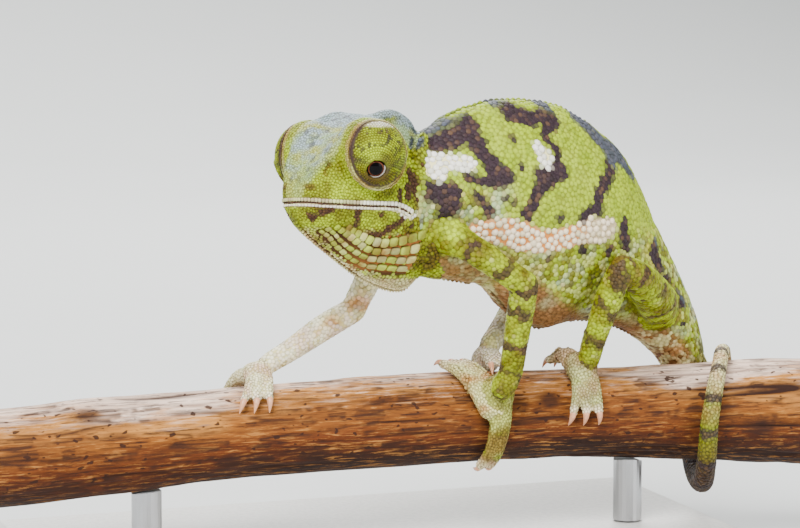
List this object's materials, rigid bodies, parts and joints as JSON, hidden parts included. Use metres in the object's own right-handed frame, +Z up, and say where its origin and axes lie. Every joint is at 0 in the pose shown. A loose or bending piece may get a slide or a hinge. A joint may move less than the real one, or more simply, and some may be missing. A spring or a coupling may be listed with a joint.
{
  "type": "flap-necked chameleon on a perch",
  "caption": "Life-size still model of a young flap-necked chameleon that grips a cut perch with its feet and tail, on a plain display stand.",
  "frame": {"origin": "middle of the underside of the stand's base, on the floor", "axes": "+X along the perch from the head end to the tail end, -Y toward the animal's left side, +Z up"},
  "size_m": [0.1225, 0.062, 0.0645],
  "materials": {
    "skin": "matt, finely scaled, yellow-green with dark zigzag bands",
    "skin_pale": "matt, finely scaled, cream with pale green mottling",
    "eye": "wet gloss",
    "perch_wood": "weathered, barkless, fibrous",
    "stand_base": "satin",
    "stand_rod": "satin"
  },
  "bodies": {
    "root": {"eye_turret_left": "skin", "eye_turret_right": "skin", "eyeball_left": "eye", "eyeball_right": "eye", "head": "skin", "left_forearm": "skin", "left_forefoot": "skin", "left_forefoot_inner_toes": "skin", "left_forefoot_outer_toes": "skin", "left_hindfoot": "skin", "left_hindfoot_inner_toes": "skin", "left_hindfoot_outer_toes": "skin", "left_shank": "skin", "left_thigh": "skin", "left_upper_arm": "skin", "lower_jaw": "skin", "neck": "skin", "perch": "perch_wood", "right_forearm": "skin_pale", "right_forefoot": "skin_pale", "right_forefoot_inner_toes": "skin_pale", "right_forefoot_outer_toes": "skin_pale", "right_hindfoot": "skin_pale", "right_hindfoot_inner_toes": "skin_pale", "right_hindfoot_outer_toes": "skin_pale", "right_shank": "skin_pale", "right_thigh": "skin", "right_upper_arm": "skin", "stand_base": "stand_base", "stand_rod_left": "stand_rod", "stand_rod_right": "stand_rod", "tail_1": "skin", "tail_2": "skin", "tail_3": "skin", "tail_4": "skin", "tail_5": "skin", "tail_6": "skin", "tail_base": "skin", "trunk_front": "skin", "trunk_rear": "skin"}
  },
  "joints": []
}
